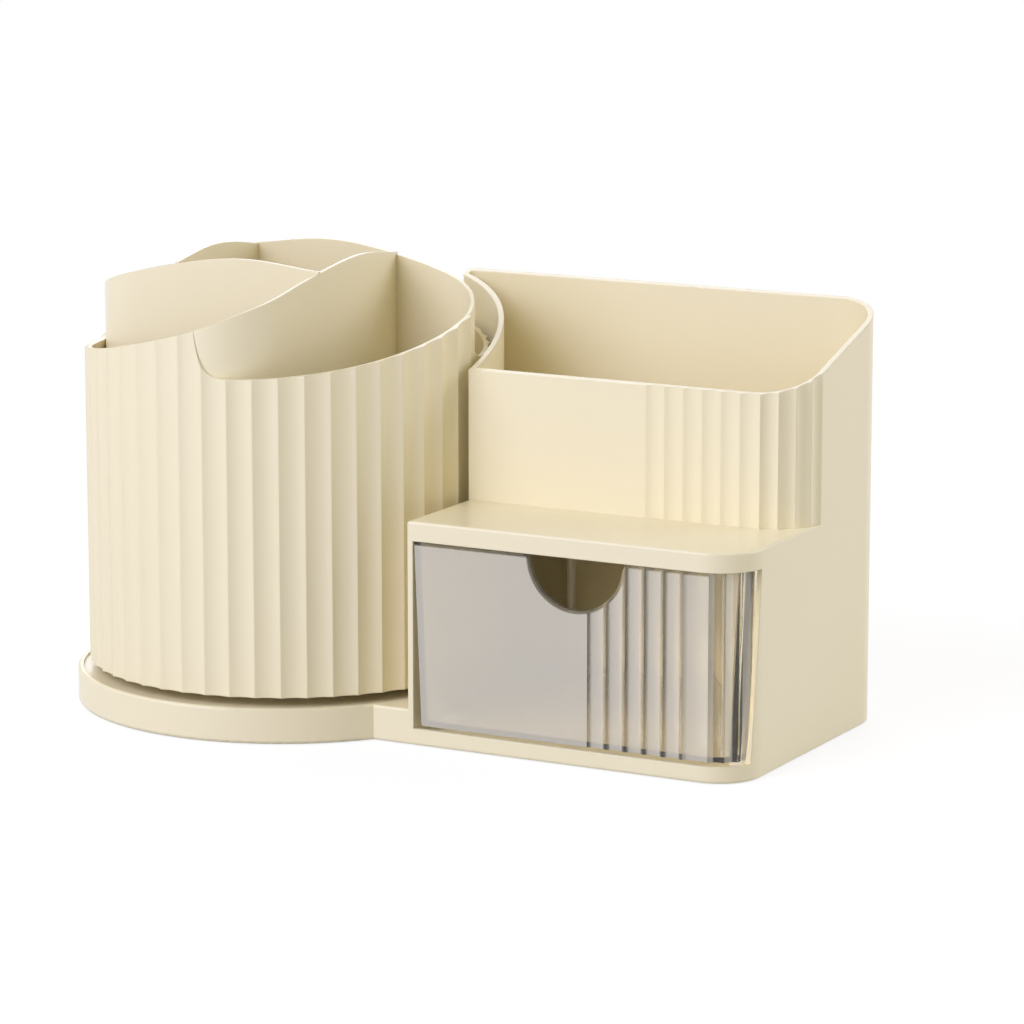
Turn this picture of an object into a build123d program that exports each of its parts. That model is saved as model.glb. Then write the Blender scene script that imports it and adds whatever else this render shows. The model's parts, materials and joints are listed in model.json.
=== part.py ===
from build123d import *
import os
from math import atan2, cos, degrees, pi, radians, sin, sqrt, tan

# A dressing-table organizer: a fluted cup with pinwheel dividers turns on a round tray, beside
# a fixed block with an open bin on top and a clear drawer below.
# All sizes are in millimetres. Plans are drawn about the cup's axis, with the table at z = 0;
# save() then moves every piece so that the origin lies under the middle of the whole part.

# ---- the fixed moulding: round tray, drawer bay and bin ----
TRAY_MARGIN = 3.9           # how far the round tray reaches past the cup
TRAY_TOP = 11.4             # height of the tray's lip above the table
LIP_WIDTH = 1.8             # width of the raised lip round the tray
LIP_DEPTH = 0.6             # depth of the tray's face below its lip
NEST_GAP = 2.3              # gap between the cup and the hollow in the block round it
BLOCK_WIDTH = 112.4         # width of the block, from the hollow's near side to the right
BLOCK_FRONT = -41.2         # front face of the block
REAR_SETBACK = 2.4          # rear face of the block in front of the hollow's rearmost point
LEDGE_TOP = 70.1            # top of the ledge in front of the bin
LEDGE_PLATE = 2.2           # thickness of the ledge's plate, which is also the bin's floor
WALL = 1.8                  # wall of the moulding
SKIN = 2.0                  # thickness of the tray's face and of the bearing well's floor
FRONT_CORNER = 14.0         # upright corner radius at the block's front right
REAR_CORNER = 16.5          # upright corner radius at the block's rear right
NEST_CORNER = 3.0           # upright corner radius where the hollow meets the rear
TRAY_EDGE = 1.0             # rounding of the tray's bottom edge
SOFT_EDGE = 0.8             # rounding of the tray's and the ledge's top edges
BIN_FRONT = -2.6            # front face of the bin
BIN_CORNER = 16.5           # upright corner radius at the bin's front right
BIN_HEIGHT = 40.8           # height of the bin's front rim above the ledge
BIN_RIM_SLOPE = 17.5        # degrees that the rim climbs towards the rear
BIN_SINK = 8.0              # depth to which the bin's walls are drawn into the block

# ---- drawer bay ----
SILL_TOP = 5.5              # top of the band below the drawer
BAND_HEIGHT = 6.1           # height of the band between the drawer and the ledge
OPENING_WRAP = 13.4         # how far the opening runs back along the right side, at its top
OPENING_LEAN = 4.3          # degrees that this end leans towards the front as it goes down

# ---- flutes ----
FLUTE_DEPTH = 0.75          # depth of a flute below its arrises, on the bin and the drawer
FLUTE_SPAN = 51.1           # first arris of the bin and the drawer, from the block's right side
FLUTE_PITCH = 6.3           # arris to arris on the flat
FLUTE_TURN = 19.5           # degrees from arris to arris round a corner
CORNER_ARRISES = 5          # arrises on a corner, the last one at its end
FLUTE_REACH = 3.0           # how far the cutters stand out of the face

# ---- underside ----
STAND = 0.3                 # the moulding's bottom edge above the table
COVER_RECESS = 0.8          # the cover lies this much above the moulding's bottom edge
COVER_T = 2.2               # thickness of the bottom cover
COVER_GAP = 0.2             # gap round the bottom cover
TONGUES = (-10.0, 30.0)     # places along y of the cover's tongues in the right wall
TONGUE_WIDTH = 12.0
FOOT_R = 7.0                # radius of a rubber foot
FOOT_ROUND = 0.4            # rounding of a foot's lower edge
FOOT_INSET = 16.0           # the ring of feet under the tray, in from its edge
BLOCK_FOOT_INSET = 17.0     # the feet under the block, in from its right side and its ends
BOSS_R = 4.0                # radius of a screw boss
BOSS_INSET = 12.0           # the ring of screw bosses under the tray, in from its edge
BOSS_ANGLES = (90.0, 180.0, 270.0)
FILLER_BOSS_INSET = 8.0     # the front left boss, in from the block's front and left
REAR_BOSS_LEFT = 6.0        # the rear boss, left of the block's left side
REAR_BOSS_INSET = 13.0      # the rear boss, in from the block's rear
REAR_BOSS_TOP = 24.0        # height of the boss column behind the drawer
COVER_SCREW_R = 1.4         # shank radius of a cover screw
COVER_SCREW_REACH = 4.0     # how far the shank goes into its boss
COVER_HEAD_R = 2.9          # head radius of a cover screw
COVER_HEAD = 1.2            # head height of a cover screw
FIT_GAP = 0.05              # radial gap of a pin, screw or sleeve in its hole
HEAD_GAP = 0.3              # gap round a sunk screw head
CROSS_WIDTH = 0.7           # width of a slot in a screw head
CROSS_DEPTH = 0.7           # depth of a slot in a screw head

# ---- bearing under the cup ----
RACE_R = 38.0               # radius of the ring of balls
RACE_HALF = 6.0             # half the width of a race
RACE_H = 3.2                # height of a race
BALL_R = 2.5                # radius of a ball
BALL_COUNT = 12
BALL_GAP = 0.1              # gap between a ball and its groove or pocket
RACE_SPACE = 2.5            # height between the two races
WELL_DEPTH = 4.0            # depth of the bearing well below the tray's face
WELL_GAP = 0.2              # gap round the lower race in its well
CAGE_HALF = 4.5             # half the width of the ball cage
CAGE_T = 1.4                # thickness of the ball cage
FLANGE_REACH = 6.0          # how far the upper race's flange stands out
FLANGE_T = 1.5              # thickness of this flange, and of the bush's flange
RACE_SCREW_R = 1.25         # shank radius of a race screw
RACE_SCREW_REACH = 4.6      # how far its shank goes into the cup
RACE_HEAD_R = 2.4           # head radius of a race screw
RACE_HEAD = 1.3             # head height of a race screw
RACE_SCREWS = 4
SPINDLE_R = 4.0             # radius of the spindle
SPINDLE_FLANGE_R = 9.0      # radius of the flange at the spindle's foot
BUSH_WALL = 2.5             # wall of the bush round the spindle
BUSH_FLANGE_R = 9.0         # radius of the bush's flange
BUSH_H = 7.2                # height of the bush above its flange
END_PLAY = 0.3              # upright play of the cup on its spindle
WASHER_R = 7.5              # radius of the washer on top of the spindle
WASHER_T = 1.2              # thickness of this washer
SPINDLE_SCREW_R = 1.5       # shank radius of the spindle's screw
SPINDLE_SCREW_REACH = 8.0   # how far its shank goes into the spindle
SPINDLE_HEAD_R = 3.2        # head radius of the spindle's screw
SPINDLE_HEAD = 2.0          # head height of the spindle's screw

# ---- rotating cup ----
CUP_R = 64.1                # radius over the arrises
CUP_FLUTES = 50
CUP_FLUTE_DEPTH = 0.85      # depth of a flute below the chord of its arrises
CUP_PHASE = -90.6           # bearing of one arris
CUP_WALL = 1.3              # wall of the cup behind its flutes, and of its dividers
CUP_GAP = 2.4               # gap between the tray's lip and the cup's bottom edge
CUP_FLOOR = 2.0             # thickness of the cup's floor
HUB_WALL = 2.5              # wall of the hub round the washer
HUB_CLEAR = 0.5             # gap round the washer and above the screw's head
CAP_T = 1.4                 # thickness of the hub's cap
CAP_SKIRT_WALL = 0.6        # wall of the cap's skirt
BOSS_WALL = 2.2             # wall of the cup's screw bosses
PETALS = 4
PETAL_LEAVE = 2.4           # bearing at which a divider leaves the cup's wall
BEND_R = 22.4               # radius of the bend where it turns inwards
BEND_TURN = 79.9            # degrees of this bend
BLADE_R = 274.0             # radius of the long blade after the bend
BLADE_JOIN = 0.4            # how far its end reaches past the middle of the next blade
NOTCH_LAG = 1.6             # degrees of full height past the point where a divider leaves
NOTCH_TURN = 9.0            # degrees over which the rim drops
RIM_FOOT = 112.4            # height of the rim at the foot of its drop
RIM_PEAK = 143.9            # height of the rim at its highest
# The rim along one petal: on the wall from the foot of the drop, at -1, to the point where
# the divider leaves it, at 0, then along the divider to its end, at 1. Beside each of these
# places is the share of the climb from the rim's foot to its peak.
PETAL_RIM = (
    (-1.0, 0.0), (-0.74, 0.041), (-0.485, 0.133), (-0.23, 0.273), (0.0, 0.438),
    (0.2, 0.663), (0.45, 0.876), (0.73, 1.0), (1.0, 0.921),
)
LID_HALF = 3.2              # half the width of the cutters that shape a rim
LID_TOP = 60.0              # their height
RIM_STEP = 4.5              # spacing of the points along a rim

# ---- drawer ----
DRAWER_SET_BACK = 0.3       # the drawer's face behind the block's front and right faces
DRAWER_TOP_GAP = 0.3        # gap between the drawer and the band above it
DRAWER_LEFT_GAP = 0.4       # gap between the drawer and the bay's left wall, at the top
DRAWER_REAR_GAP = 4.0       # gap between the drawer's rear and the bay's rear wall, at the top
DRAWER_SIDE_GAP = 0.8       # gap between the drawer's right side and the bay's wall, at the top
DRAWER_DRAFT = 2.3          # degrees of draft on its sides
DRAWER_RISE = 1.2           # height of the drawer's underside above the sill
DRAWER_WALL = 1.6
DRAWER_FLOOR = 1.5
DRAWER_CORNER = 3.0         # upright corner radius of the drawer's foot at its rear left
SLIDE_GAP = 0.3             # running gap under and beside the drawer
EDGE_GAP = 0.6              # gap between the drawer's face and the opening's right end
GRIP_INSET = 55.2           # middle of the finger notch, from the block's right side
GRIP_R = 15.6               # radius of the finger notch
GRIP_SHOULDER = 3.0         # rounding where the notch meets the top edge
CATCH_GAP = 0.6             # gap between the bay's ceiling and the catch on the drawer's rear
CATCH_WIDTH = 30.0          # width of this catch
TRAVEL = 70.0               # how far the drawer slides out
STOP_WIDTH = 22.0           # width of the stop under the ledge
STOP_T = 6.0                # thickness of this stop
STOP_PEG_R = 2.0            # radius of its pegs
STOP_PEG = 1.2              # height of its pegs
STOP_PEG_SPACING = 12.0     # spacing of its pegs
RUNNER_FENCE = 4.6          # height of a runner's fence above its track
RUNNER_T = 1.8              # thickness of this fence
RUNNER_PAD = 6.0            # width of a runner under the drawer
RUNNER_PEG_R = 1.5          # radius of a runner's pegs
RUNNER_PEG_INSET = 14.0     # distance of the pegs from the runner's ends
BUMPER_R = 3.5              # radius of a rear bumper
BUMPER_DROP = 3.0           # distance of a bumper's top below the drawer's top edge
BUMPER_INSET = 22.0         # distance of a bumper from the drawer's sides

# ---- heights and places that follow ----
EPS = 1.0                   # run-out of a cutter past an open face
TRAY_R = CUP_R + TRAY_MARGIN
NEST_R = CUP_R + NEST_GAP
BLOCK_RIGHT = NEST_R + BLOCK_WIDTH
BLOCK_REAR = NEST_R - REAR_SETBACK
OPENING_TOP = LEDGE_TOP - BAND_HEIGHT
OPENING_SIDE = BLOCK_FRONT + OPENING_WRAP
FLUTE_START = BLOCK_RIGHT - FLUTE_SPAN
BIN_RIM = LEDGE_TOP + BIN_HEIGHT
TALL = BIN_RIM + LID_TOP
COVER_UNDER = STAND + COVER_RECESS
COVER_TOP = COVER_UNDER + COVER_T
TRAY_FACE = TRAY_TOP - LIP_DEPTH
TRAY_UNDER = TRAY_FACE - SKIN
BAY_CEILING = LEDGE_TOP - LEDGE_PLATE
BAY_REAR = BLOCK_REAR - WALL
WELL_FLOOR = TRAY_FACE - WELL_DEPTH
WELL_UNDER = WELL_FLOOR - SKIN
RACE_OUT = RACE_R + RACE_HALF
RACE_IN = RACE_R - RACE_HALF
WELL_R = RACE_OUT + WELL_GAP
BALL_Z = WELL_FLOOR + RACE_H + RACE_SPACE / 2
UPPER_RACE = WELL_FLOOR + RACE_H + RACE_SPACE
CUP_UNDER = UPPER_RACE + RACE_H
CUP_BOTTOM = TRAY_TOP + CUP_GAP
CUP_FACE = CUP_UNDER + CUP_FLOOR
FLANGE_R = RACE_OUT + FLANGE_REACH
RACE_SCREW_RING = RACE_OUT + FLANGE_REACH / 2
BUSH_R = SPINDLE_R + FIT_GAP + BUSH_WALL
BUSH_TOP = CUP_UNDER + BUSH_H
SPINDLE_TOP = BUSH_TOP + END_PLAY
HUB_BORE = WASHER_R + HUB_CLEAR
HUB_R = HUB_BORE + HUB_WALL
CAP_UNDER = SPINDLE_TOP + WASHER_T + SPINDLE_HEAD + HUB_CLEAR
FLUTE_BED = CUP_R * cos(pi / CUP_FLUTES) - CUP_FLUTE_DEPTH
CUP_INSIDE = FLUTE_BED - CUP_WALL
PETAL_R = CUP_INSIDE + CUP_WALL / 2
BEND_LENGTH = BEND_R * radians(BEND_TURN)
DRAWER_UNDER = SILL_TOP + DRAWER_RISE
DRAWER_FRONT = BLOCK_FRONT + DRAWER_SET_BACK
DRAWER_TOP = OPENING_TOP - DRAWER_TOP_GAP
DRAWER_LEFT = NEST_R + WALL + DRAWER_LEFT_GAP
DRAWER_RIGHT = BLOCK_RIGHT - WALL - DRAWER_SIDE_GAP
DRAWER_REAR = BAY_REAR - DRAWER_REAR_GAP
FACE_RIGHT = BLOCK_RIGHT - DRAWER_SET_BACK
FACE_CORNER = FRONT_CORNER - DRAWER_SET_BACK
GRIP_X = BLOCK_RIGHT - GRIP_INSET
CATCH_FACE = DRAWER_REAR - DRAWER_WALL
CATCH_TOP = BAY_CEILING - CATCH_GAP
STOP_FACE = CATCH_FACE - TRAVEL - SLIDE_GAP
RUNNER_TOP = DRAWER_UNDER - SLIDE_GAP
RUNNER_FRONT = BLOCK_FRONT + FRONT_CORNER
RUNNER_REAR = BLOCK_REAR - REAR_CORNER
FOOT_RING = TRAY_R - FOOT_INSET
BOSS_RING = TRAY_R - BOSS_INSET
BLOCK_FEET = tuple(
    (BLOCK_RIGHT - BLOCK_FOOT_INSET, y)
    for y in (BLOCK_FRONT + BLOCK_FOOT_INSET, BLOCK_REAR - BLOCK_FOOT_INSET)
)
FILLER_BOSS = (NEST_R - FILLER_BOSS_INSET, BLOCK_FRONT + FILLER_BOSS_INSET)
REAR_BOSS = (NEST_R - REAR_BOSS_LEFT, BLOCK_REAR - REAR_BOSS_INSET)
MIDDLE = (BLOCK_RIGHT - TRAY_R) / 2


def save(name, *solids):
    """Write one piece, or a group of like pieces, with the origin under the whole part's middle."""
    placed = [solid.moved(Location((-MIDDLE, 0, 0))) for solid in solids]
    piece = placed[0] if len(placed) == 1 else Compound(children=placed)
    export_step(piece, f"parts/{name}.step")


def polar(radius, bearing, height=0.0):
    """The point at this radius, bearing in degrees and height."""
    return Vector(radius * cos(radians(bearing)), radius * sin(radians(bearing)), height)


def column(plan, low, high):
    """A plan raised from one height to another."""
    return extrude(Pos(0, 0, low) * plan, high - low, dir=(0, 0, 1))


def rod(radius, low, high, centre=(0.0, 0.0)):
    """An upright cylinder."""
    return column(Pos(*centre) * Circle(radius), low, high)


def ring(outer, inner, low, high):
    """An upright tube about the cup's axis."""
    return rod(outer, low, high) - rod(inner, low - EPS, high + EPS)


def rounded(plan, corners):
    """Round the plan's corners nearest to each (x, y, radius)."""
    for x, y, radius in corners:
        vertex = min(plan.vertices(), key=lambda v: (v.X - x) ** 2 + (v.Y - y) ** 2)
        plan = fillet(vertex, radius)
    return plan


def lowered(radius, inset):
    """A corner radius drawn in with its walls, never sharper than a soft edge."""
    return max(radius - inset, SOFT_EDGE)


def block_plan(front, corner, inset=0.0):
    """Plan of the block, hollowed on its left round the cup, drawn in by inset."""
    left = NEST_R + inset
    right = BLOCK_RIGHT - inset
    low = front + inset
    high = BLOCK_REAR - inset
    slab = Pos((left + right) / 2, (low + high) / 2) * Rectangle(right - left, high - low)
    wing_low = max(low, 0.0)
    wing = Pos(left / 2, (wing_low + high) / 2) * Rectangle(left, high - wing_low)
    plan = slab + wing - Circle(left)
    return rounded(plan, (
        (right, low, lowered(corner, inset)),
        (right, high, lowered(REAR_CORNER, inset)),
        (sqrt(left**2 - high**2), high, lowered(NEST_CORNER, inset)),
    ))


def base_plan(inset=0.0):
    """Plan of the foot of the moulding: the round tray joined to the block, drawn in by inset."""
    right = BLOCK_RIGHT - inset
    low = BLOCK_FRONT + inset
    high = BLOCK_REAR - inset
    slab = Pos(right / 2, (low + high) / 2) * Rectangle(right, high - low)
    slab = rounded(slab, (
        (right, low, lowered(FRONT_CORNER, inset)),
        (right, high, lowered(REAR_CORNER, inset)),
    ))
    return Circle(TRAY_R - inset) + slab


def flute(start, end, depth):
    """Plan of one flute between two arrises, open on the right-hand side of start to end."""
    along = (end - start).normalized()
    outward = Vector(along.Y, -along.X, 0)
    bed = (start + end) / 2 - outward * depth
    reach = outward * FLUTE_REACH
    sides = Polyline(end, end + reach, start + reach, start)
    return make_face(ThreePointArc(start, bed, end) + sides)


def face_arrises(front, right, corner):
    """The arrises of a fluted front, from left to right and round its right-hand corner."""
    turn_from = right - corner
    count = int((turn_from - FLUTE_START) / FLUTE_PITCH)
    flat = [Vector(FLUTE_START + i * FLUTE_PITCH, front, 0) for i in range(count + 1)]
    centre = Vector(turn_from, front + corner, 0)
    turns = [FLUTE_TURN * (i + 1 - CORNER_ARRISES) for i in range(CORNER_ARRISES)]
    return flat + [centre + polar(corner, turn) for turn in turns]


def face_flutes(front, right, corner, low, high):
    """Cutters for the flutes of a front face."""
    arrises = face_arrises(front, right, corner)
    return [
        column(flute(a, b, FLUTE_DEPTH), low, high) for a, b in zip(arrises, arrises[1:])
    ]


def side_prism(outline, left, right):
    """An outline of (y, z) points, run along x."""
    wire = Polyline(*[(left, y, z) for y, z in outline], close=True)
    return extrude(make_face(wire), right - left, dir=(1, 0, 0))


def front_prism(outline, front, rear):
    """An outline of (x, z) points, run along y."""
    wire = Polyline(*[(x, front, z) for x, z in outline], close=True)
    return extrude(make_face(wire), rear - front, dir=(0, 1, 0))


def screw(shank_r, shank_top, head_r, head_low, head_high, centre, upwards=True):
    """A cross-head screw. The head lies below the shank, or above it if not upwards."""
    shank_end = head_high if upwards else head_low
    shank = rod(shank_r, min(shank_end, shank_top), max(shank_end, shank_top), centre)
    head = rod(head_r, head_low, head_high, centre)
    face = head_low if upwards else head_high
    slot = Box(head_r, CROSS_WIDTH, 2 * CROSS_DEPTH) + Box(CROSS_WIDTH, head_r, 2 * CROSS_DEPTH)
    return shank + head - Pos(centre[0], centre[1], face) * slot


def flat_points(points):
    """Ring places as plain (x, y) pairs."""
    return [(point.X, point.Y) for point in points]


def tray_bosses():
    """Places of the screw bosses below the tray."""
    return flat_points([polar(BOSS_RING, bearing) for bearing in BOSS_ANGLES]) + [FILLER_BOSS]


def foot_places():
    """Places of the rubber feet."""
    return flat_points([polar(FOOT_RING, 45 + 90 * i) for i in range(4)]) + list(BLOCK_FEET)


def drawer_lean(height):
    """How far the drawer's sides have drawn in at this height."""
    return (DRAWER_TOP - height) * tan(radians(DRAWER_DRAFT))


def fence_places():
    """Faces of the left and the right runner's fence, next to the drawer."""
    lean = drawer_lean(RUNNER_TOP + RUNNER_FENCE) - SLIDE_GAP
    return DRAWER_LEFT + lean, DRAWER_RIGHT - lean


def runner_pegs():
    """Places along y of the pegs under each runner."""
    return (RUNNER_FRONT + RUNNER_PEG_INSET, RUNNER_REAR - RUNNER_PEG_INSET)


def runner_peg_columns():
    """Places across x of the left and the right runner's pegs."""
    left, right = fence_places()
    return left + RUNNER_PAD / 2, right - RUNNER_PAD / 2


def opening_outline(gap=0.0):
    """Side view of the drawer's opening, its slanted end drawn towards the front by gap."""
    lean = (OPENING_TOP - SILL_TOP) * tan(radians(OPENING_LEAN))
    end = OPENING_SIDE - gap
    front = BLOCK_FRONT - FLUTE_REACH
    return [(front, SILL_TOP), (front, OPENING_TOP), (end, OPENING_TOP), (end - lean, SILL_TOP)]


def tongue(gap):
    """The cover's tongue in the block's right wall, or its slot with a gap round it."""
    reach = BLOCK_RIGHT - WALL / 2 - COVER_GAP + gap
    depth = WALL + COVER_GAP
    size = (depth, TONGUE_WIDTH + 2 * gap, COVER_T / 2 + gap)
    middle = COVER_TOP - COVER_T / 4 - gap / 2
    return [Pos(reach - depth / 2, y, middle) * Box(*size) for y in TONGUES]


def housing_shell():
    """Tray, drawer bay, ledge and bin in one moulding, open below."""
    foot = column(base_plan(), STAND, TRAY_TOP)
    foot = fillet(foot.faces().sort_by(Axis.Z)[0].edges(), TRAY_EDGE)
    foot = fillet(foot.faces().sort_by(Axis.Z)[-1].edges(), SOFT_EDGE)
    outline = block_plan(BLOCK_FRONT, FRONT_CORNER)
    block = column(outline, SILL_TOP, LEDGE_TOP)
    block = fillet(block.faces().sort_by(Axis.Z)[-1].edges(), SOFT_EDGE)
    tub = column(block_plan(BIN_FRONT, BIN_CORNER), LEDGE_TOP - BIN_SINK, TALL)
    for groove in face_flutes(BIN_FRONT, BLOCK_RIGHT, BIN_CORNER, LEDGE_TOP, TALL + EPS):
        tub -= groove
    rise = tan(radians(BIN_RIM_SLOPE)) * (BLOCK_REAR + EPS - BIN_FRONT + EPS)
    front, rear = BIN_FRONT - EPS, BLOCK_REAR + EPS
    rim = BIN_RIM - tan(radians(BIN_RIM_SLOPE)) * EPS
    above = [(front, rim), (rear, rim + rise), (rear, TALL + EPS), (front, TALL + EPS)]
    tub -= side_prism(above, 0, BLOCK_RIGHT + EPS)

    shell = foot + block + tub
    shell -= column(block_plan(BIN_FRONT, BIN_CORNER, WALL), LEDGE_TOP, TALL)
    shell -= column(base_plan(WALL), STAND - EPS, COVER_TOP)
    bay = column(block_plan(BLOCK_FRONT, FRONT_CORNER, WALL), COVER_TOP, BAY_CEILING)
    bay -= rod(BOSS_R, COVER_TOP, REAR_BOSS_TOP, REAR_BOSS)
    web = Box(BOSS_R, BAY_REAR - REAR_BOSS[1] + EPS, REAR_BOSS_TOP - COVER_TOP)
    web_y = (BAY_REAR + REAR_BOSS[1] + EPS) / 2
    bay -= Pos(REAR_BOSS[0], web_y, (REAR_BOSS_TOP + COVER_TOP) / 2) * web
    shell -= bay
    hollow = base_plan(WALL) - outline - Circle(WELL_R + WALL)
    for place in tray_bosses():
        hollow -= Pos(*place) * Circle(BOSS_R)
    shell -= column(hollow, COVER_TOP, TRAY_UNDER)
    shell -= column(Circle(TRAY_R - LIP_WIDTH) - outline, TRAY_FACE, TRAY_TOP + EPS)
    shell -= rod(WELL_R, WELL_FLOOR, TRAY_FACE + EPS)
    shell -= rod(WELL_R + WALL, COVER_TOP, WELL_UNDER)
    shell -= rod(SPINDLE_R + FIT_GAP, WELL_UNDER - EPS, WELL_FLOOR + EPS)
    shell -= side_prism(opening_outline(), NEST_R + WALL, BLOCK_RIGHT + FLUTE_REACH)
    for place in tray_bosses() + [REAR_BOSS]:
        reach = COVER_TOP + COVER_SCREW_REACH + HEAD_GAP
        shell -= rod(COVER_SCREW_R + FIT_GAP, COVER_TOP - EPS, reach, place)
    for side in (-1, 1):
        place = (GRIP_X + side * STOP_PEG_SPACING / 2, STOP_FACE - STOP_T / 2)
        shell -= rod(STOP_PEG_R + FIT_GAP, BAY_CEILING - EPS, BAY_CEILING + STOP_PEG, place)
    for slot in tongue(FIT_GAP):
        shell -= slot
    return shell


def bottom_cover():
    """Flat cover that closes the moulding from below and carries the runners."""
    cover = column(base_plan(WALL + COVER_GAP), COVER_UNDER, COVER_TOP)
    for place in tray_bosses() + [REAR_BOSS]:
        cover -= rod(COVER_SCREW_R + FIT_GAP, COVER_UNDER - EPS, COVER_TOP + EPS, place)
        cover -= rod(COVER_HEAD_R + HEAD_GAP, COVER_UNDER - EPS, COVER_UNDER + COVER_HEAD, place)
    for x in runner_peg_columns():
        for y in runner_pegs():
            cover -= rod(RUNNER_PEG_R + FIT_GAP, COVER_UNDER - EPS, COVER_TOP + EPS, (x, y))
    for key in tongue(0.0):
        cover += key
    return cover


def cover_screws():
    """Screws that hold the bottom cover."""
    return [
        screw(COVER_SCREW_R, COVER_TOP + COVER_SCREW_REACH, COVER_HEAD_R, COVER_UNDER,
              COVER_UNDER + COVER_HEAD, place)
        for place in tray_bosses() + [REAR_BOSS]
    ]


def rubber_feet():
    """Soft pads under the bottom cover."""
    feet = []
    for place in foot_places():
        foot = rod(FOOT_R, 0, COVER_UNDER, place)
        feet.append(fillet(foot.edges().sort_by(Axis.Z)[0], FOOT_ROUND))
    return feet


def spindle():
    """Steel post, held by its flange between the cover and the well's floor."""
    post = rod(SPINDLE_R, COVER_TOP, SPINDLE_TOP) + rod(SPINDLE_FLANGE_R, COVER_TOP, WELL_UNDER)
    bore = SPINDLE_TOP - SPINDLE_SCREW_REACH - HEAD_GAP
    return post - rod(SPINDLE_SCREW_R + FIT_GAP, bore, SPINDLE_TOP + EPS)


def spindle_washer():
    """Washer that keeps the cup from lifting off."""
    low, high = SPINDLE_TOP, SPINDLE_TOP + WASHER_T
    return ring(WASHER_R, SPINDLE_SCREW_R + FIT_GAP, low, high)


def spindle_screw():
    """Screw that holds the washer on the spindle."""
    low = SPINDLE_TOP + WASHER_T
    return screw(SPINDLE_SCREW_R, SPINDLE_TOP - SPINDLE_SCREW_REACH, SPINDLE_HEAD_R, low,
                 low + SPINDLE_HEAD, (0.0, 0.0), upwards=False)


def groove():
    """The ring-shaped space that the balls run in, with their gap."""
    return Pos(0, 0, BALL_Z) * Torus(RACE_R, BALL_R + BALL_GAP)


def lower_race():
    """Bearing ring in the tray's well."""
    return ring(RACE_OUT, RACE_IN, WELL_FLOOR, WELL_FLOOR + RACE_H) - groove()


def race_screw_places():
    """Places of the screws through the upper race's flange."""
    return flat_points([polar(RACE_SCREW_RING, 360 / RACE_SCREWS * i) for i in range(RACE_SCREWS)])


def upper_race():
    """Bearing ring screwed under the cup."""
    race = ring(RACE_OUT, RACE_IN, UPPER_RACE, CUP_UNDER) - groove()
    race += ring(FLANGE_R, RACE_OUT - EPS, CUP_UNDER - FLANGE_T, CUP_UNDER)
    for place in race_screw_places():
        race -= rod(RACE_SCREW_R + FIT_GAP, CUP_UNDER - FLANGE_T - EPS, CUP_UNDER + EPS, place)
    return race


def race_screws():
    """Screws that hold the upper race under the cup."""
    head_high = CUP_UNDER - FLANGE_T
    return [
        screw(RACE_SCREW_R, CUP_UNDER + RACE_SCREW_REACH, RACE_HEAD_R, head_high - RACE_HEAD,
              head_high, place)
        for place in race_screw_places()
    ]


def ball_places():
    """Centres of the balls."""
    return [polar(RACE_R, 360 / BALL_COUNT * (i + 0.5), BALL_Z) for i in range(BALL_COUNT)]


def ball_cage():
    """Flat ring with a pocket for each ball."""
    low = BALL_Z - CAGE_T / 2
    cage = ring(RACE_R + CAGE_HALF, RACE_R - CAGE_HALF, low, low + CAGE_T)
    for place in ball_places():
        cage -= rod(BALL_R + BALL_GAP, low - EPS, low + CAGE_T + EPS, (place.X, place.Y))
    return cage


def hub_bush():
    """Flanged bush pressed in the cup's hub, turning on the spindle."""
    bush = rod(BUSH_R, CUP_UNDER - FLANGE_T, BUSH_TOP)
    bush += rod(BUSH_FLANGE_R, CUP_UNDER - FLANGE_T, CUP_UNDER)
    return bush - rod(SPINDLE_R + FIT_GAP, 0, TALL)


def hub_cap():
    """Cap that closes the cup's hub."""
    cap = rod(HUB_R, CAP_UNDER, CAP_UNDER + CAP_T)
    cap = fillet(cap.edges().sort_by(Axis.Z)[-1], SOFT_EDGE)
    skirt_r = HUB_BORE - FIT_GAP
    skirt_low = SPINDLE_TOP + WASHER_T + HUB_CLEAR
    return cap + ring(skirt_r, skirt_r - CAP_SKIRT_WALL, skirt_low, CAP_UNDER)


def bend_end():
    """Centre of a blade's arc, and the bearing from it where the blade starts."""
    bearing = PETAL_LEAVE + BEND_TURN
    return polar(PETAL_R - BEND_R, PETAL_LEAVE) + polar(BEND_R - BLADE_R, bearing), bearing


def blade_length():
    """Length of a blade that ends in the blade of the petal before it."""
    centre, start = bend_end()
    reach = centre.length
    meeting = degrees(atan2(centre.Y, centre.X)) + 180 / PETALS
    along = reach * cos(radians(180 / PETALS))
    point = polar(along - sqrt(along**2 - reach**2 + BLADE_R**2), meeting)
    end = degrees(atan2(point.Y - centre.Y, point.X - centre.X))
    return BLADE_R * radians(end - start) + BLADE_JOIN


def rim_height(distance):
    """Smooth height of a petal's rim at this distance from the point of leaving."""
    wall = radians(360 / PETALS - NOTCH_LAG - NOTCH_TURN) * PETAL_R
    divided = BEND_LENGTH + blade_length()
    places = [along * (wall if along < 0 else divided) for along, _ in PETAL_RIM]
    heights = [RIM_FOOT + share * (RIM_PEAK - RIM_FOOT) for _, share in PETAL_RIM]
    last = len(places) - 1
    slopes = []
    for i in range(len(places)):
        before, after = max(i - 1, 0), min(i + 1, last)
        slopes.append((heights[after] - heights[before]) / (places[after] - places[before]))
    slopes[0] = 0.0
    i = max(k for k in range(last) if distance >= places[k] or k == 0)
    span = places[i + 1] - places[i]
    t = (distance - places[i]) / span
    ends = heights[i] * (1 - t)**2 * (1 + 2 * t) + heights[i + 1] * t**2 * (3 - 2 * t)
    return ends + span * (slopes[i] * t * (1 - t)**2 - slopes[i + 1] * t**2 * (1 - t))


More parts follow.
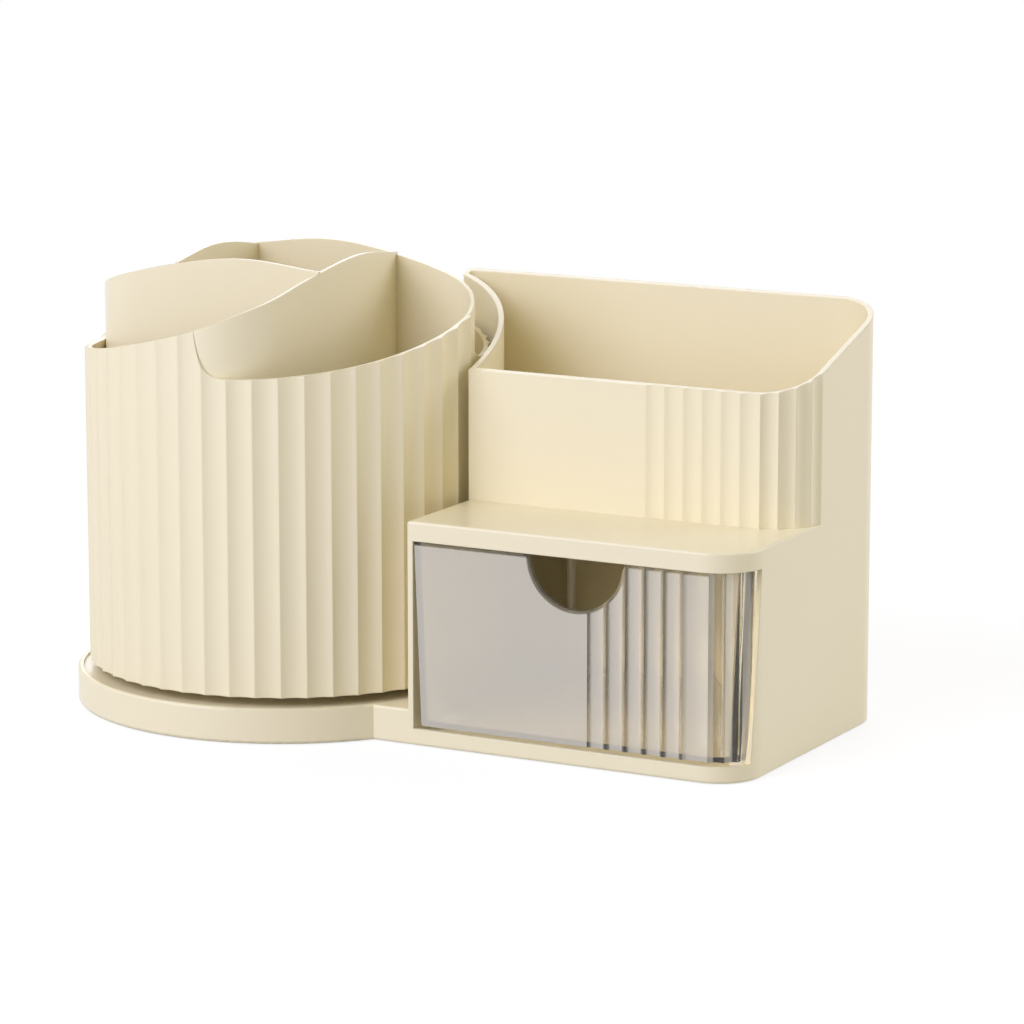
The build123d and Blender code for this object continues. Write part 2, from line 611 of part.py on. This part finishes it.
def lid(curves):
    """Everything above a rim: the ruled strip between two curves, run upwards."""
    strip = Face.make_surface_from_curves(*curves)
    return Solid.extrude(strip, Vector(0, 0, LID_TOP))


def ring_curves(make):
    """The same curve drawn inside and outside the cup's wall."""
    return [make(PETAL_R + side * LID_HALF) for side in (-1, 1)]


def wall_lids():
    """Cutters for one petal's rim on the cup's wall: its sudden drop, then its long climb."""
    top_bearing = PETAL_LEAVE - 360 / PETALS + NOTCH_LAG
    foot_bearing = top_bearing + NOTCH_TURN
    end_bearing = PETAL_LEAVE + NOTCH_LAG
    drop_top = rim_height(radians(NOTCH_LAG) * PETAL_R)

    def drop(radius):
        return Bezier(
            polar(radius, top_bearing, drop_top),
            polar(radius, top_bearing + NOTCH_TURN * 0.12, (drop_top + 2 * RIM_FOOT) / 3),
            polar(radius, top_bearing + NOTCH_TURN * 0.35, RIM_FOOT),
            polar(radius, foot_bearing, RIM_FOOT),
        )

    def climb(radius):
        count = round(radians(end_bearing - foot_bearing) * PETAL_R / RIM_STEP)
        points = []
        for i in range(count + 1):
            bearing = foot_bearing + (end_bearing - foot_bearing) * i / count
            height = rim_height(radians(bearing - PETAL_LEAVE) * PETAL_R)
            points.append(polar(radius, bearing, height))
        return Spline(*points)

    return [lid(ring_curves(drop)), lid(ring_curves(climb))]


def divider_point(distance, aside=0.0):
    """Plan point of a divider's middle line, or of a line beside it on its outer side."""
    if distance <= BEND_LENGTH:
        bearing = PETAL_LEAVE + degrees(distance / BEND_R)
        return polar(PETAL_R - BEND_R, PETAL_LEAVE) + polar(BEND_R + aside, bearing)
    centre, bearing = bend_end()
    bearing += degrees((distance - BEND_LENGTH) / BLADE_R)
    return centre + polar(BLADE_R + aside, bearing)


def divider():
    """One divider: it leaves the cup's wall, bends inwards and ends on its neighbour."""
    blade = blade_length()
    length = BEND_LENGTH + blade
    half = CUP_WALL / 2

    def side(aside):
        first = ThreePointArc(*[divider_point(BEND_LENGTH * t, aside) for t in (0, 0.5, 1)])
        second = [divider_point(BEND_LENGTH + blade * t, aside) for t in (0, 0.5, 1)]
        return first, ThreePointArc(*second)

    outer = side(half)
    inner = side(-half)
    ends = [Line(inner[0] @ 0, outer[0] @ 0), Line(outer[1] @ 1, inner[1] @ 1)]
    plan = make_face([*outer, ends[1], *inner, ends[0]])
    wall = column(plan, CUP_UNDER, TALL)

    def rim(aside):
        count = round(length / RIM_STEP)
        points = []
        for i in range(-1, count + 2):
            distance = length * i / count
            point = divider_point(distance, aside)
            points.append(Vector(point.X, point.Y, rim_height(distance)))
        return Spline(*points)

    return wall - lid([rim(-LID_HALF), rim(LID_HALF)])


def rotating_cup():
    """Fluted cup with its floor, hub and four pinwheel dividers, in one moulding."""
    step = 360 / CUP_FLUTES
    arcs = []
    for i in range(CUP_FLUTES):
        bearing = CUP_PHASE + step * i
        arcs.append(ThreePointArc(polar(CUP_R, bearing), polar(FLUTE_BED, bearing + step / 2),
                                  polar(CUP_R, bearing + step)))
    wall = column(make_face(arcs), CUP_BOTTOM, TALL) - rod(CUP_INSIDE, CUP_BOTTOM - EPS, TALL + EPS)
    for petal in range(PETALS):
        for cutter in wall_lids():
            wall -= Rot(0, 0, 360 / PETALS * petal) * cutter
    cup = wall + rod(PETAL_R, CUP_UNDER, CUP_FACE)
    one = divider()
    for petal in range(PETALS):
        cup += Rot(0, 0, 360 / PETALS * petal) * one
    cup += rod(HUB_R, CUP_UNDER, CAP_UNDER)
    boss_top = CUP_UNDER + RACE_SCREW_REACH + HEAD_GAP
    for place in race_screw_places():
        cup += rod(RACE_SCREW_R + BOSS_WALL, CUP_UNDER, boss_top + SKIN / 2, place)
        cup -= rod(RACE_SCREW_R + FIT_GAP, CUP_UNDER - EPS, boss_top, place)
    cup -= rod(BUSH_R, CUP_UNDER - EPS, BUSH_TOP)
    return cup - rod(HUB_BORE, BUSH_TOP, CAP_UNDER + EPS)


def drafted_box(inset, floor):
    """The drawer's box drawn in by inset, its sides widening upwards, running on past its front."""
    lean = drawer_lean(floor)
    left = DRAWER_LEFT + lean + inset
    right = DRAWER_RIGHT - lean - inset
    rear = DRAWER_REAR - lean - inset
    front = DRAWER_FRONT - FACE_CORNER
    plan = Pos((left + right) / 2, (front + rear) / 2) * Rectangle(right - left, rear - front)
    right_corner = REAR_CORNER - (BLOCK_REAR - DRAWER_REAR) - lean
    plan = rounded(plan, (
        (left, rear, lowered(DRAWER_CORNER, inset)), (right, rear, lowered(right_corner, inset)),
    ))
    return extrude(Pos(0, 0, floor) * plan, DRAWER_TOP - floor, dir=(0, 0, 1), taper=-DRAWER_DRAFT)


def face_plan(inset):
    """Plan of the drawer's fluted front, wrapped round the block's corner, drawn in by inset."""
    right = FACE_RIGHT - inset
    low = DRAWER_FRONT + inset
    left = DRAWER_LEFT - WALL
    high = OPENING_SIDE + FACE_CORNER
    plan = Pos((left + right) / 2, (low + high) / 2) * Rectangle(right - left, high - low)
    return rounded(plan, ((right, low, FACE_CORNER - inset),))


def grip_cutter():
    """The finger notch in the drawer's front, with rounded shoulders."""
    above = 2 * GRIP_SHOULDER
    plan = Pos(GRIP_X, DRAWER_TOP) * Circle(GRIP_R)
    half = GRIP_R + above
    plan += Pos(GRIP_X, DRAWER_TOP + above / 2) * Rectangle(2 * half, above)
    for side in (-1, 1):
        plan = rounded(plan, ((GRIP_X + side * GRIP_R, DRAWER_TOP, GRIP_SHOULDER),))
    plan = Plane.XZ.offset(-DRAWER_FRONT - DRAWER_WALL - EPS) * plan
    return extrude(plan, DRAWER_WALL + 2 * EPS, dir=(0, -1, 0))


def drawer_tray():
    """Clear drawer: a drafted box behind a fluted front that wraps round the corner."""
    ahead = DRAWER_FRONT - 2 * FACE_CORNER
    front_wall = DRAWER_FRONT + DRAWER_WALL
    reach = (DRAWER_LEFT - WALL, FACE_RIGHT)
    before_face = side_prism(
        [(ahead, 0), (DRAWER_FRONT, 0), (DRAWER_FRONT, TALL), (ahead, TALL)], *reach)
    inside_face = side_prism(
        [(ahead, 0), (front_wall, 0), (front_wall, TALL), (ahead, TALL)], *reach)
    box = drafted_box(0.0, DRAWER_UNDER) - before_face

    wrap = column(face_plan(0.0), DRAWER_UNDER, DRAWER_TOP)
    wrap &= side_prism(opening_outline(EDGE_GAP), DRAWER_LEFT - WALL, BLOCK_RIGHT)
    left_lean = [
        (DRAWER_LEFT - 2 * WALL, 0), (DRAWER_LEFT + drawer_lean(0), 0), (DRAWER_LEFT, DRAWER_TOP),
        (DRAWER_LEFT, DRAWER_TOP + EPS), (DRAWER_LEFT - 2 * WALL, DRAWER_TOP + EPS),
    ]
    wrap -= front_prism(left_lean, ahead, OPENING_SIDE + FACE_CORNER)
    corner_box = column(face_plan(0.0), DRAWER_UNDER, DRAWER_TOP)
    keep = side_prism([
        (DRAWER_FRONT - EPS, 0), (OPENING_SIDE, 0), (OPENING_SIDE, TALL), (DRAWER_FRONT - EPS, TALL),
    ], *reach)
    outside = keep - corner_box
    box -= outside

    floor = DRAWER_UNDER + DRAWER_FLOOR
    space = drafted_box(DRAWER_WALL, floor) - inside_face
    inner_corner = face_plan(DRAWER_WALL)
    space -= keep - column(inner_corner, 0, TALL)
    tray = box + wrap - space
    for groove in face_flutes(DRAWER_FRONT, FACE_RIGHT, FACE_CORNER, 0, TALL):
        tray -= groove
    tray -= grip_cutter()
    catch_foot = DRAWER_TOP - CATCH_GAP
    catch = Box(CATCH_WIDTH, DRAWER_WALL, CATCH_TOP - catch_foot)
    catch_z = (CATCH_TOP + catch_foot) / 2
    return tray + Pos(GRIP_X, DRAWER_REAR - DRAWER_WALL / 2, catch_z) * catch


def runner(fence, side):
    """Strip that carries and guides one side of the drawer. side is 1 where it reaches right."""
    outside = fence - side * RUNNER_T
    inside = fence + side * RUNNER_PAD
    fence_top = RUNNER_TOP + RUNNER_FENCE
    outline = [
        (outside, COVER_TOP), (inside, COVER_TOP), (inside, RUNNER_TOP), (fence, RUNNER_TOP),
        (fence, fence_top), (outside, fence_top),
    ]
    strip = front_prism(outline, RUNNER_FRONT, RUNNER_REAR)
    for y in runner_pegs():
        place = (fence + side * RUNNER_PAD / 2, y)
        strip += rod(RUNNER_PEG_R, COVER_UNDER, COVER_TOP, place)
    return strip


def drawer_stop():
    """Stop under the ledge that the drawer's catch meets when it is pulled out."""
    low = DRAWER_TOP + SLIDE_GAP
    middle = STOP_FACE - STOP_T / 2
    stop = Box(STOP_WIDTH, STOP_T, BAY_CEILING - low)
    stop = Pos(GRIP_X, middle, (BAY_CEILING + low) / 2) * stop
    for side in (-1, 1):
        place = (GRIP_X + side * STOP_PEG_SPACING / 2, middle)
        stop += rod(STOP_PEG_R, BAY_CEILING, BAY_CEILING + STOP_PEG, place)
    return stop


def rear_bumpers():
    """Pads on the bay's rear wall that the closed drawer rests against."""
    top = DRAWER_TOP - BUMPER_DROP
    face = DRAWER_REAR - drawer_lean(top) + SLIDE_GAP
    pads = []
    for x in (DRAWER_LEFT + BUMPER_INSET, DRAWER_RIGHT - BUMPER_INSET):
        outline = Plane.XZ.offset(-BAY_REAR) * (Pos(x, top - BUMPER_R) * Circle(BUMPER_R))
        pads.append(extrude(outline, BAY_REAR - face, dir=(0, -1, 0)))
    return pads


def main():
    os.makedirs("parts", exist_ok=True)
    left_fence, right_fence = fence_places()
    save("housing_shell", housing_shell())
    save("bottom_cover", bottom_cover())
    save("cover_screws", *cover_screws())
    save("rubber_feet", *rubber_feet())
    save("spindle", spindle())
    save("spindle_washer", spindle_washer())
    save("spindle_screw", spindle_screw())
    save("lower_race", lower_race())
    save("left_runner", runner(left_fence, 1))
    save("right_runner", runner(right_fence, -1))
    save("drawer_stop", drawer_stop())
    save("rear_bumpers", *rear_bumpers())
    save("ball_cage", ball_cage())
    save("bearing_balls", *[Pos(*place) * Sphere(BALL_R) for place in ball_places()])
    save("rotating_cup", rotating_cup())
    save("upper_race", upper_race())
    save("race_screws", *race_screws())
    save("hub_bush", hub_bush())
    save("hub_cap", hub_cap())
    save("drawer_tray", drawer_tray())


main()
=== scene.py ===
import json
import math

import bpy
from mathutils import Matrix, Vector


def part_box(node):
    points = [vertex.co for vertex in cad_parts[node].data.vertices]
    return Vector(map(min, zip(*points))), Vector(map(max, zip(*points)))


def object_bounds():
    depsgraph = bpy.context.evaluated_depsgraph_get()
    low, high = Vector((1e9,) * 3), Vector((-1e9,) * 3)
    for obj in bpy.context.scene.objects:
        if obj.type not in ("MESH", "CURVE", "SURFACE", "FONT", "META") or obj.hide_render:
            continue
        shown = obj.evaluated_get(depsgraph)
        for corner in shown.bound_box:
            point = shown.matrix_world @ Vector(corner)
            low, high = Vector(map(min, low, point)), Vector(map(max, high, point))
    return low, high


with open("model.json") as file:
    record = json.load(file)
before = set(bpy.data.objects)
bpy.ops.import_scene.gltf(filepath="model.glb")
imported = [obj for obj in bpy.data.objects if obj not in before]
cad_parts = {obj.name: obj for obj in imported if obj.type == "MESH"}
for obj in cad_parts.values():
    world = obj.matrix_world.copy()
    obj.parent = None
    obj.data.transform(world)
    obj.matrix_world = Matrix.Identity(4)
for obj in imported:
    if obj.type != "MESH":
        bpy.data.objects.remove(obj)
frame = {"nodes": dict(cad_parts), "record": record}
cad_low, cad_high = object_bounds()

# Lengths are in metres in the part's own frame, and colours are linear.

# The photograph's viewpoint.
CAMERA_AT = Vector((0.6741, -1.2073, 0.3397))
CAMERA_AIM = Vector((0.0273, -0.0045, 0.0680))
LENS_MM = 158.6
SENSOR_MM = 36.0
CLIP_START = 0.05
CLIP_END = 50.0

# Plastics.
PLASTIC_IOR = 1.49
CREAM = (0.897, 0.812, 0.562)
CREAM_DEEP = (0.889, 0.800, 0.544)
CREAM_EDGE = 0.0005            # radius that the cream moulding's edges catch the light with
TINT = (0.97, 0.92, 0.77)      # the clear plastic's own colour
TINT_DEEP = (0.96, 0.905, 0.75)
SMOKE = (0.50, 0.43, 0.31)     # what its thickness takes from the light
SMOKE_DENSITY = 45.0
CLEAR = 0.97                   # share of the light that passes where the drawer is clear
HAZY_SHEEN = 0.48                    # the same where it is milky, which is partly real haze and partly a painted sheen

# Where the drawer is milky: partly real haze, partly a painted sheen on the face, with painted dark
# lines where it is left clear.
FRONT = (0.0, -1.0, 0.0)       # outwards at the drawer's flat face
CORNER = (0.766, -0.643, 0.0)  # outwards at its round corner
FACING = (0.974, 0.924)        # cosines off these from where the haze and painted sheen fade to where they end
CORNER_HAZE_AND_SHEEN = 0.7              # share of the face's haze and painted sheen that the corner gets
FACE_DEPTH = 0.0015            # the face's haze and painted sheen lie within this depth of the drawer's front
FACE_FADE = FACE_DEPTH / 3
GRIP_INSET = 0.0552            # middle of the finger notch, from the block's right side
GRIP_X = cad_high[0] - GRIP_INSET
GRIP_Z = 0.0637                # its height, which is the top of the drawer's face
GRIP_RADIUS = 0.0156
PAINTED_SHADE_RIM = 0.0012          # width of the clear rim round the notch and along the top, which shows as a painted dark line of shade
RIM_FADE = PAINTED_SHADE_RIM / 2

# A noise mostly lies between these, so colours and numbers change between them.
COLOUR_SPAN = (0.35, 0.65)
NUMBER_SPAN = (0.3, 0.7)

# Studio.
WHITE = (1.0, 1.0, 1.0, 1.0)
FLOOR_SIZE = 12.0
FLOOR_BOUNCE = 0.62            # grey that the floor lights the object with
FLOOR_SHADE = 0.25             # share of the floor's own shading that the camera sees
FLOOR_WHITE = 0.80             # plain white that is added to it
SHADE_FROM = 0.20              # from this distance to the next the floor turns plain white
SHADE_TO = 0.45
WORLD_COLOUR = (1.0, 0.93, 0.71, 1.0)
WORLD_STRENGTH = 0.38
LAMP_AIM = Vector((0.0, 0.0, 0.06))
LAMP_DISTANCE = 1.8
FRONT_LIGHT = (0.97, 1.0, 1.29)
REAR_LIGHT = (0.98, 1.0, 1.18)


# ---------------------------------------------------------------- node helpers
def new_material(name):
    """An empty node material with an output node."""
    material = bpy.data.materials.new(name)
    material.use_nodes = True
    tree = material.node_tree
    tree.nodes.clear()
    out = tree.nodes.new("ShaderNodeOutputMaterial")
    return material, tree, out


def noise(tree, scale, detail, roughness, stretch=(1.0, 1.0, 1.0)):
    """A noise texture in the object's own metres, its output socket returned."""
    place = tree.nodes.new("ShaderNodeTexCoord")
    fit = tree.nodes.new("ShaderNodeMapping")
    fit.inputs["Scale"].default_value = stretch
    made = tree.nodes.new("ShaderNodeTexNoise")
    made.inputs["Scale"].default_value = scale
    made.inputs["Detail"].default_value = detail
    made.inputs["Roughness"].default_value = roughness
    tree.links.new(place.outputs["Object"], fit.inputs["Vector"])
    tree.links.new(fit.outputs["Vector"], made.inputs["Vector"])
    return made.outputs["Fac"]


def ramp(tree, value, low, high):
    """A colour that follows a noise from low to high."""
    made = tree.nodes.new("ShaderNodeValToRGB")
    for step, position, colour in zip(made.color_ramp.elements, COLOUR_SPAN, (low, high)):
        step.position = position
        step.color = (*colour, 1.0)
    tree.links.new(value, made.inputs["Fac"])
    return made.outputs["Color"]


def spread(tree, value, low, high):
    """A number that follows a noise from low to high."""
    made = tree.nodes.new("ShaderNodeMapRange")
    made.inputs["From Min"].default_value = NUMBER_SPAN[0]
    made.inputs["From Max"].default_value = NUMBER_SPAN[1]
    made.inputs["To Min"].default_value = low
    made.inputs["To Max"].default_value = high
    tree.links.new(value, made.inputs["Value"])
    return made.outputs["Result"]


def step_between(tree, value, start, end, low, high):
    """A number that turns smoothly from low to high as a value goes from start to end."""
    made = tree.nodes.new("ShaderNodeMapRange")
    made.interpolation_type = "SMOOTHSTEP"
    made.inputs["From Min"].default_value = start
    made.inputs["From Max"].default_value = end
    made.inputs["To Min"].default_value = low
    made.inputs["To Max"].default_value = high
    tree.links.new(value, made.inputs["Value"])
    return made.outputs["Result"]


def combine(tree, operation, values):
    """Several numbers multiplied or added together, kept between 0 and 1."""
    total = values[0]
    for value in values[1:]:
        made = tree.nodes.new("ShaderNodeMath")
        made.operation = operation
        made.use_clamp = True
        tree.links.new(total, made.inputs[0])
        tree.links.new(value, made.inputs[1])
        total = made.outputs["Value"]
    return total


def bump(tree, height, distance, strength, edge=0.0):
    """A bump from a height, over edges that catch the light as if rounded by a radius."""
    made = tree.nodes.new("ShaderNodeBump")
    made.inputs["Distance"].default_value = distance
    made.inputs["Strength"].default_value = strength
    tree.links.new(height, made.inputs["Height"])
    if edge:
        soft = tree.nodes.new("ShaderNodeBevel")
        soft.samples = 4
        soft.inputs["Radius"].default_value = edge
        tree.links.new(soft.outputs["Normal"], made.inputs["Normal"])
    return made.outputs["Normal"]


def mixed(tree, share, first, second):
    """The first shader where a share is 0, turning to the second where it is 1."""
    made = tree.nodes.new("ShaderNodeMixShader")
    tree.links.new(share, made.inputs["Fac"])
    tree.links.new(first, made.inputs[1])
    tree.links.new(second, made.inputs[2])
    return made.outputs["Shader"]


def glow(tree, kind, colour, strength):
    """An emission or background node, its output socket returned."""
    made = tree.nodes.new(kind)
    made.inputs["Color"].default_value = colour
    made.inputs["Strength"].default_value = strength
    return made.outputs[0]


def matt_grey(tree, grey):
    """A plain diffuse shader."""
    made = tree.nodes.new("ShaderNodeBsdfDiffuse")
    made.inputs["Color"].default_value = (grey, grey, grey, 1.0)
    return made.outputs["BSDF"]


# ---------------------------------------------------------------- materials
def plastic(name, colour, deep, rough, grain, grain_depth=0.00003, strength=0.25, edge=0.0):
    """Moulded plastic: faint flow marks in its colour, a fine grain and an uneven sheen."""
    material, tree, out = new_material(name)
    shader = tree.nodes.new("ShaderNodeBsdfPrincipled")
    shader.inputs["IOR"].default_value = PLASTIC_IOR
    flow = noise(tree, scale=14.0, detail=2.0, roughness=0.45, stretch=(1.0, 1.0, 0.35))
    tree.links.new(ramp(tree, flow, deep, colour), shader.inputs["Base Color"])
    sheen = noise(tree, scale=55.0, detail=1.0, roughness=0.4)
    tree.links.new(spread(tree, sheen, *rough), shader.inputs["Roughness"])
    fine = noise(tree, scale=grain, detail=2.0, roughness=0.6)
    tree.links.new(bump(tree, fine, grain_depth, strength, edge), shader.inputs["Normal"])
    tree.links.new(shader.outputs["BSDF"], out.inputs["Surface"])
    return material


def facing(tree, direction, most=1.0):
    """Most where the surface faces a direction squarely, falling to 0 on the slopes of the flutes,
    which stay clear as painted dark lines.
    """
    shape = tree.nodes.new("ShaderNodeNewGeometry")
    along = tree.nodes.new("ShaderNodeVectorMath")
    along.operation = "DOT_PRODUCT"
    along.inputs[1].default_value = direction
    tree.links.new(shape.outputs["Normal"], along.inputs[0])
    return step_between(tree, along.outputs["Value"], *FACING, most, 0.0)


def away_from_grip(tree, at):
    """0 at the finger notch's rim, rising to 1 a little outside it; the clear rim left inside is a
    painted dark line of shade.
    """
    flat = tree.nodes.new("ShaderNodeCombineXYZ")
    tree.links.new(at["X"], flat.inputs["X"])
    tree.links.new(at["Z"], flat.inputs["Y"])
    distance = tree.nodes.new("ShaderNodeVectorMath")
    distance.operation = "DISTANCE"
    distance.inputs[1].default_value = (GRIP_X, GRIP_Z, 0.0)
    tree.links.new(flat.outputs["Vector"], distance.inputs[0])
    rim = GRIP_RADIUS + PAINTED_SHADE_RIM
    return step_between(tree, distance.outputs["Value"], rim - RIM_FADE, rim, 0.0, 1.0)


def haze_and_painted_sheen(tree):
    """Where the drawer is milky: its face, apart from slopes and rims, and less so its corner; partly
    real haze, partly a painted sheen, and the clear slopes and rims are painted dark lines.
    """
    place = tree.nodes.new("ShaderNodeTexCoord")
    split = tree.nodes.new("ShaderNodeSeparateXYZ")
    tree.links.new(place.outputs["Object"], split.inputs["Vector"])
    at = split.outputs
    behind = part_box("drawer_tray")[0][1] + FACE_DEPTH
    # A clear strip along the top that paints the dark line of shade under the band.
    below = GRIP_Z - PAINTED_SHADE_RIM
    face = combine(tree, "MULTIPLY", (
        facing(tree, FRONT),
        away_from_grip(tree, at),
        step_between(tree, at["Y"], behind - FACE_FADE, behind, 1.0, 0.0),
        step_between(tree, at["Z"], below, below + RIM_FADE, 1.0, 0.0),
    ))
    return combine(tree, "ADD", (face, facing(tree, CORNER, CORNER_HAZE_AND_SHEEN)))


def clear_plastic(name):
    """Clear smoky plastic: a little milky where it faces outwards, partly real haze and partly a
    painted sheen, with painted dark lines on its clear slopes and rims.
    """
    material, tree, out = new_material(name)
    shader = tree.nodes.new("ShaderNodeBsdfPrincipled")
    shader.inputs["IOR"].default_value = PLASTIC_IOR
    # The milky veil is partly a painted sheen; where it is left out, on slopes and rims, it paints
    # dark lines.
    weight = tree.nodes.new("ShaderNodeMapRange")
    weight.inputs["To Min"].default_value = CLEAR
    weight.inputs["To Max"].default_value = HAZY_SHEEN
    tree.links.new(haze_and_painted_sheen(tree), weight.inputs["Value"])
    tree.links.new(weight.outputs["Result"], shader.inputs["Transmission Weight"])
    flow = noise(tree, scale=20.0, detail=2.0, roughness=0.4)
    tree.links.new(ramp(tree, flow, TINT_DEEP, TINT), shader.inputs["Base Color"])
    polish = noise(tree, scale=80.0, detail=3.0, roughness=0.5)
    tree.links.new(spread(tree, polish, 0.01, 0.03), shader.inputs["Roughness"])
    wave = noise(tree, scale=45.0, detail=1.0, roughness=0.4)
    tree.links.new(bump(tree, wave, distance=0.00005, strength=0.15), shader.inputs["Normal"])
    smoke = tree.nodes.new("ShaderNodeVolumeAbsorption")
    smoke.inputs["Color"].default_value = (*SMOKE, 1.0)
    smoke.inputs["Density"].default_value = SMOKE_DENSITY
    tree.links.new(smoke.outputs["Volume"], out.inputs["Volume"])

    # A shadow ray crosses two surfaces in each wall, so each of them takes the root of the tint.
    path = tree.nodes.new("ShaderNodeLightPath")
    passing = tree.nodes.new("ShaderNodeBsdfTransparent")
    passing.inputs["Color"].default_value = (*(math.sqrt(part) for part in TINT), 1.0)
    either = mixed(tree, path.outputs["Is Shadow Ray"], shader.outputs["BSDF"],
                   passing.outputs["BSDF"])
    tree.links.new(either, out.inputs["Surface"])
    return material


def steel(name, colour, deep, rough, stretch=(1.0, 1.0, 1.0)):
    """Turned or plated steel with fine tool marks."""
    material, tree, out = new_material(name)
    shader = tree.nodes.new("ShaderNodeBsdfPrincipled")
    shader.inputs["Metallic"].default_value = 1.0
    patch = noise(tree, scale=160.0, detail=3.0, roughness=0.5)
    tree.links.new(ramp(tree, patch, deep, colour), shader.inputs["Base Color"])
    marks = noise(tree, scale=1400.0, detail=2.0, roughness=0.5, stretch=stretch)
    tree.links.new(spread(tree, marks, *rough), shader.inputs["Roughness"])
    tree.links.new(bump(tree, marks, distance=0.00002, strength=0.3), shader.inputs["Normal"])
    tree.links.new(shader.outputs["BSDF"], out.inputs["Surface"])
    return material


def dress():
    """Give every CAD node its material."""
    slots = {row["node"]: row["material_slot"] for row in frame["record"]["subparts"]}
    made = {
        "cream_plastic": plastic("cream_plastic", CREAM, CREAM_DEEP, rough=(0.285, 0.33),
                                 grain=1500.0, grain_depth=0.00001, strength=0.2,
                                 edge=CREAM_EDGE),
        "smoke_clear": clear_plastic("smoke_clear"),
        "bearing_plastic": plastic("bearing_plastic", (0.80, 0.80, 0.77), (0.74, 0.74, 0.71),
                                   rough=(0.42, 0.55), grain=700.0),
        "zinc_steel": steel("zinc_steel", (0.58, 0.59, 0.61), (0.48, 0.49, 0.50),
                            rough=(0.28, 0.42)),
        "turned_steel": steel("turned_steel", (0.55, 0.55, 0.56), (0.47, 0.47, 0.48),
                              rough=(0.14, 0.26), stretch=(0.2, 0.2, 3.0)),
        "foot_rubber": plastic("foot_rubber", (0.60, 0.57, 0.49), (0.54, 0.51, 0.43),
                               rough=(0.78, 0.92), grain=500.0, grain_depth=0.00008,
                               strength=0.5),
        "soft_stop": plastic("soft_stop", (0.70, 0.67, 0.58), (0.64, 0.61, 0.52),
                             rough=(0.68, 0.82), grain=500.0, grain_depth=0.00008,
                             strength=0.4),
    }
    for name, piece in frame["nodes"].items():
        piece.data.materials.clear()
        piece.data.materials.append(made[slots[name]])


# ---------------------------------------------------------------- studio
def seen_directly(tree):
    """1 for rays that show the background: from the camera, in a gloss or through glass."""
    path = tree.nodes.new("ShaderNodeLightPath").outputs
    return combine(tree, "ADD", (path["Is Camera Ray"], path["Is Glossy Ray"],
                                 path["Is Transmission Ray"]))


def make_floor():
    """A white floor that keeps the object's soft shadow."""
    half = FLOOR_SIZE / 2
    mesh = bpy.data.meshes.new("floor")
    corners = [(-half, -half, 0), (half, -half, 0), (half, half, 0), (-half, half, 0)]
    mesh.from_pydata(corners, [], [(0, 1, 2, 3)])
    floor = bpy.data.objects.new("floor", mesh)
    bpy.context.scene.collection.objects.link(floor)
    material, tree, out = new_material("floor")
    near = tree.nodes.new("ShaderNodeAddShader")
    tree.links.new(matt_grey(tree, FLOOR_SHADE), near.inputs[0])
    tree.links.new(glow(tree, "ShaderNodeEmission", WHITE, FLOOR_WHITE), near.inputs[1])
    plain = glow(tree, "ShaderNodeEmission", WHITE, 1.0)
    place = tree.nodes.new("ShaderNodeTexCoord")
    distance = tree.nodes.new("ShaderNodeVectorMath")
    distance.operation = "LENGTH"
    tree.links.new(place.outputs["Object"], distance.inputs[0])
    far = step_between(tree, distance.outputs["Value"], SHADE_FROM, SHADE_TO, 0.0, 1.0)
    shown = mixed(tree, far, near.outputs["Shader"], plain)
    either = mixed(tree, seen_directly(tree), matt_grey(tree, FLOOR_BOUNCE), shown)
    tree.links.new(either, out.inputs["Surface"])
    mesh.materials.append(material)


def make_world():
    """Plain surroundings that are seen as pure white and light the object softly."""
    world = bpy.data.worlds.new("studio")
    world.use_nodes = True
    tree = world.node_tree
    tree.nodes.clear()
    out = tree.nodes.new("ShaderNodeOutputWorld")
    light = glow(tree, "ShaderNodeBackground", WORLD_COLOUR, WORLD_STRENGTH)
    plain = glow(tree, "ShaderNodeBackground", WHITE, 1.0)
    tree.links.new(mixed(tree, seen_directly(tree), light, plain), out.inputs["Surface"])
    bpy.context.scene.world = world


def set_down(name, data, at, aim):
    """A lamp or camera at one point, turned towards another."""
    made = bpy.data.objects.new(name, data)
    made.location = at
    made.rotation_mode = "QUATERNION"
    made.rotation_quaternion = (aim - at).to_track_quat("-Z", "Y")
    bpy.context.scene.collection.objects.link(made)
    return made


def lamp(name, bearing, height, size, watts, colour):
    """A square soft lamp that faces the object from a bearing and a height in degrees."""
    flat = math.cos(math.radians(height))
    towards = Vector((
        flat * math.cos(math.radians(bearing)),
        flat * math.sin(math.radians(bearing)),
        math.sin(math.radians(height)),
    ))
    data = bpy.data.lights.new(name, "AREA")
    data.size = size
    data.energy = watts
    data.color = colour
    set_down(name, data, LAMP_AIM + towards * LAMP_DISTANCE, LAMP_AIM)


def make_camera():
    """The photograph's viewpoint."""
    data = bpy.data.cameras.new("camera")
    data.lens = LENS_MM
    data.sensor_width = SENSOR_MM
    data.clip_start = CLIP_START
    data.clip_end = CLIP_END
    bpy.context.scene.camera = set_down("camera", data, CAMERA_AT, CAMERA_AIM)


dress()
make_floor()
make_world()
lamp("key", bearing=-112.0, height=38.0, size=1.3, watts=17.1, colour=FRONT_LIGHT)
lamp("front", bearing=-104.0, height=9.0, size=1.0, watts=6.0, colour=FRONT_LIGHT)
lamp("fill", bearing=35.0, height=22.0, size=1.2, watts=13.3, colour=REAR_LIGHT)
lamp("rear", bearing=118.0, height=28.0, size=1.2, watts=8.0, colour=REAR_LIGHT)
make_camera()
bpy.context.scene.view_settings.view_transform = "Standard"
